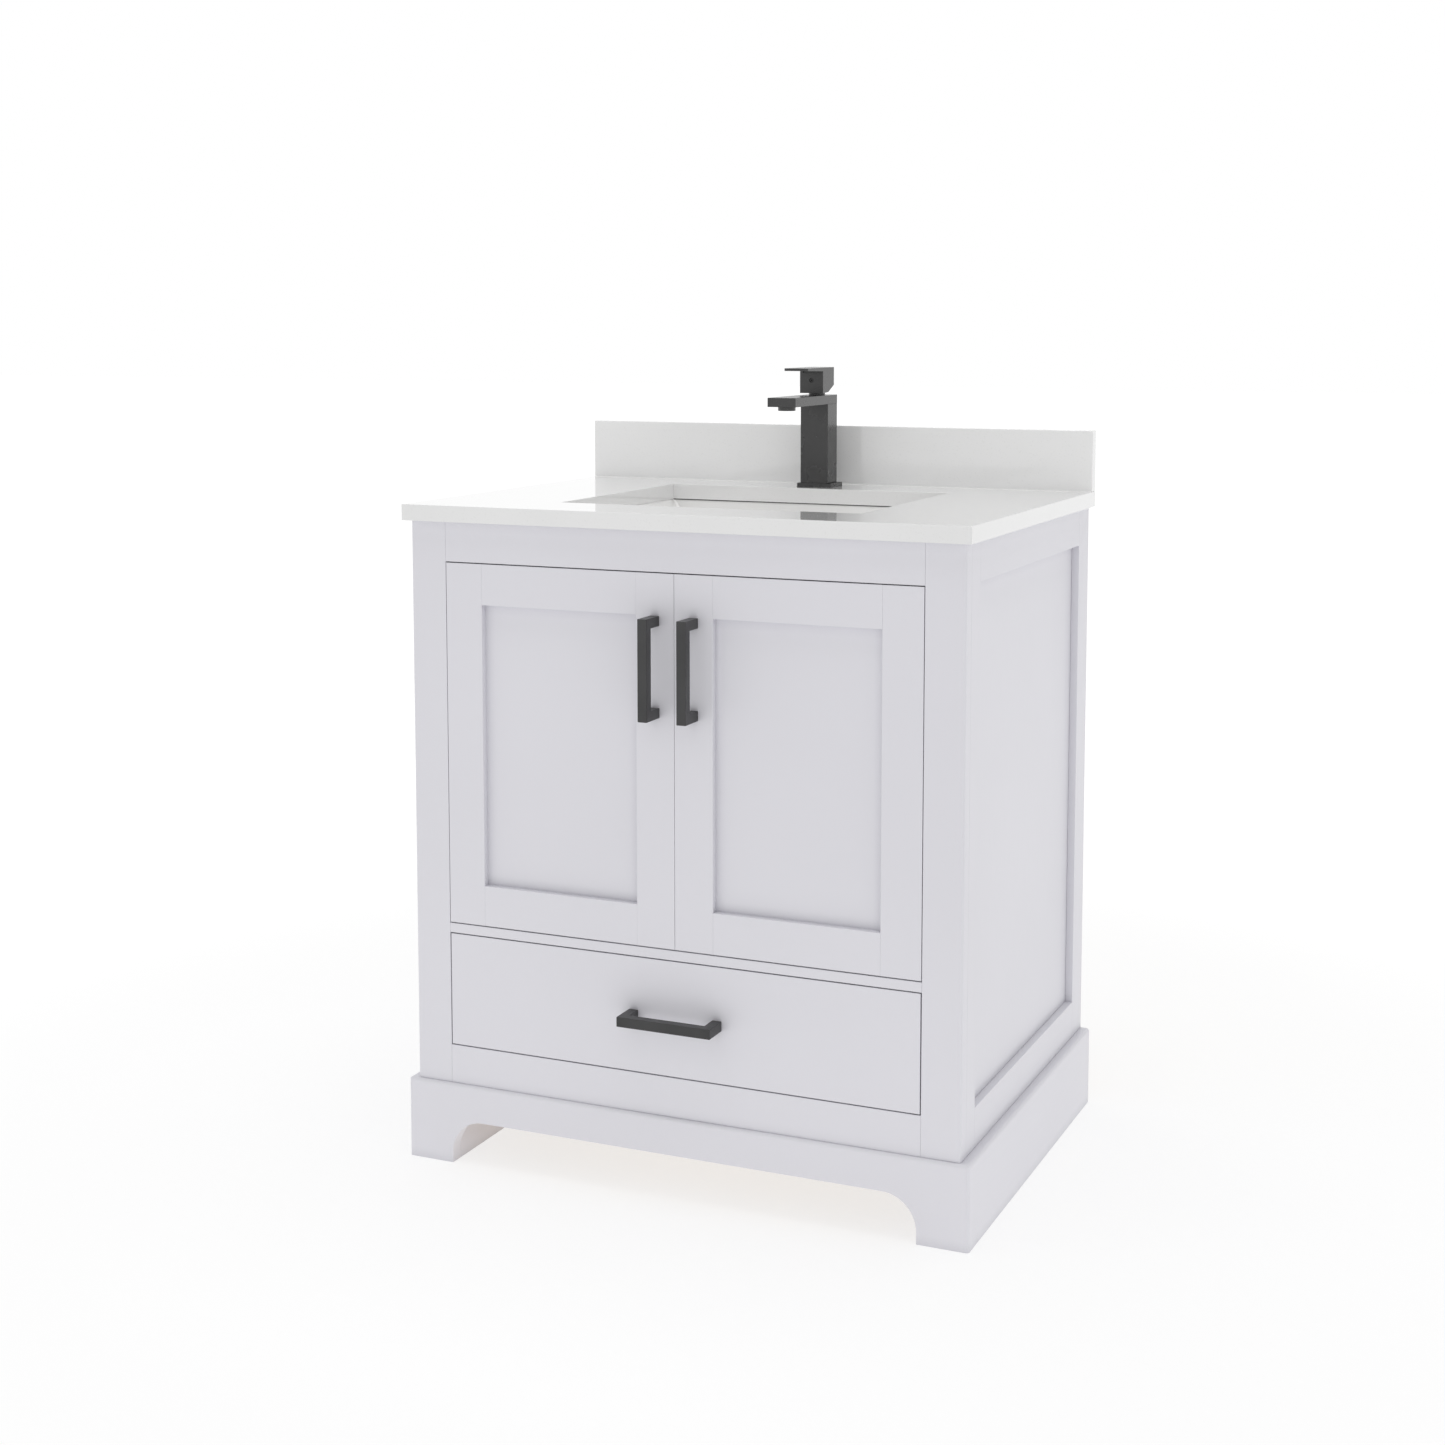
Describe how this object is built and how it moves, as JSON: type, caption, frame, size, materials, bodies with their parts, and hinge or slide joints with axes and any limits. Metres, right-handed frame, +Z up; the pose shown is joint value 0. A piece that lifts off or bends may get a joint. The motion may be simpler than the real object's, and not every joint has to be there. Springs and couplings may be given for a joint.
{
  "type": "bathroom vanity cabinet",
  "caption": "Floor-standing bathroom vanity with two inset shaker doors over a drawer, moulded plinth, slab top, undermount basin and single-lever faucet.",
  "frame": {"origin": "on the floor, in the middle of the overall footprint", "axes": "+X to the right seen from the front, +Y back to the wall, +Z up"},
  "size_m": [0.7696, 0.587, 1.0321],
  "materials": {
    "painted_wood": "satin pale grey-lilac paint",
    "birch_board": "clear lacquered birch board",
    "white_quartz": "polished",
    "white_china": "glazed",
    "black_metal": "matte black",
    "chrome_plate": "polished",
    "zinc_steel": "zinc plated"
  },
  "bodies": {
    "cabinet": {"face_stiles": "painted_wood", "top_rail": "painted_wood", "middle_rail": "painted_wood", "bottom_rail": "painted_wood", "left_side_stiles": "painted_wood", "left_side_rails": "painted_wood", "left_side_panel": "painted_wood", "right_side_stiles": "painted_wood", "right_side_rails": "painted_wood", "right_side_panel": "painted_wood", "plinth_front": "painted_wood", "plinth_sides": "painted_wood", "back_top_rail": "birch_board", "back_panel": "birch_board", "deck": "birch_board", "cabinet_floor": "birch_board", "corner_braces": "birch_board", "plinth_back": "birch_board", "hinge_blocks": "birch_board", "slide_battens": "birch_board", "countertop": "white_quartz", "backsplash": "white_quartz", "sink_basin": "white_china", "faucet_base": "black_metal", "faucet_column": "black_metal", "faucet_spout": "black_metal", "faucet_aerator": "black_metal", "drain_flange": "chrome_plate", "drain_tailpiece": "chrome_plate", "sink_clips": "zinc_steel", "drain_lock_nut": "zinc_steel", "drain_slip_nut": "zinc_steel", "faucet_shank": "zinc_steel", "faucet_nut": "zinc_steel", "hinge_arms": "zinc_steel", "slide_outer_members": "zinc_steel"},
    "left_door": {"left_door_stiles": "painted_wood", "left_door_rails": "painted_wood", "left_door_panel": "painted_wood", "left_door_pull": "black_metal", "left_hinge_cups": "zinc_steel"},
    "left_rear_links": {"left_hinge_rear_links": "zinc_steel"},
    "left_front_links": {"left_hinge_front_links": "zinc_steel"},
    "right_door": {"right_door_stiles": "painted_wood", "right_door_rails": "painted_wood", "right_door_panel": "painted_wood", "right_door_pull": "black_metal", "right_hinge_cups": "zinc_steel"},
    "right_rear_links": {"right_hinge_rear_links": "zinc_steel"},
    "right_front_links": {"right_hinge_front_links": "zinc_steel"},
    "drawer": {"drawer_front": "painted_wood", "drawer_pull": "black_metal", "drawer_sides": "birch_board", "drawer_ends": "birch_board", "drawer_bottom": "birch_board", "slide_inner_members": "zinc_steel"},
    "slide_middles": {"slide_middle_members": "zinc_steel"},
    "stopper": {"drain_stopper": "chrome_plate"},
    "faucet_turning_part": {"faucet_cartridge": "zinc_steel"},
    "faucet_lever": {"faucet_handle": "black_metal"}
  },
  "joints": [
    {"name": "left_door_hinge", "type": "hinge", "parent": "cabinet", "child": "left_door", "pos_m": [-0.3222, -0.257, 0.55575], "axis": [0, 0, -1], "range_deg": [0, 105]},
    {"name": "left_rear_link_turn", "type": "hinge", "parent": "cabinet", "child": "left_rear_links", "pos_m": [-0.3162, -0.225, 0.55575], "axis": [0, 0, -1], "range_deg": [0, 79]},
    {"name": "left_front_link_turn", "type": "hinge", "parent": "left_door", "child": "left_front_links", "pos_m": [-0.2962, -0.233, 0.55575], "axis": [0, 0, 1], "range_deg": [0, 127]},
    {"name": "right_door_hinge", "type": "hinge", "parent": "cabinet", "child": "right_door", "pos_m": [0.3222, -0.257, 0.55575], "axis": [0, 0, 1], "range_deg": [0, 105]},
    {"name": "right_rear_link_turn", "type": "hinge", "parent": "cabinet", "child": "right_rear_links", "pos_m": [0.3162, -0.225, 0.55575], "axis": [0, 0, 1], "range_deg": [0, 79]},
    {"name": "right_front_link_turn", "type": "hinge", "parent": "right_door", "child": "right_front_links", "pos_m": [0.2962, -0.233, 0.55575], "axis": [0, 0, -1], "range_deg": [0, 127]},
    {"name": "drawer_slide", "type": "slide", "parent": "cabinet", "child": "drawer", "axis": [0, -1, 0], "range_m": [0, 0.42]},
    {"name": "slide_middles_run", "type": "slide", "parent": "cabinet", "child": "slide_middles", "axis": [0, -1, 0], "range_m": [0, 0.21]},
    {"name": "stopper_lift", "type": "slide", "parent": "cabinet", "child": "stopper", "axis": [0, 0, 1], "range_m": [0, 0.008]},
    {"name": "faucet_turn", "type": "hinge", "parent": "cabinet", "child": "faucet_turning_part", "pos_m": [0, 0.2179, 1], "axis": [0, 0, 1], "range_deg": [-45, 45]},
    {"name": "faucet_lever_lift", "type": "hinge", "parent": "faucet_turning_part", "child": "faucet_lever", "pos_m": [0, 0.2179, 1.0091], "axis": [-1, 0, 0], "range_deg": [0, 22]}
  ],
  "couplings": [
    {"joint": "left_rear_link_turn", "follows": "left_door_hinge", "ratio": 0.74892},
    {"joint": "left_front_link_turn", "follows": "left_door_hinge", "ratio": 1.2081},
    {"joint": "right_rear_link_turn", "follows": "right_door_hinge", "ratio": 0.74892},
    {"joint": "right_front_link_turn", "follows": "right_door_hinge", "ratio": 1.2081},
    {"joint": "slide_middles_run", "follows": "drawer_slide", "ratio": 0.5}
  ]
}
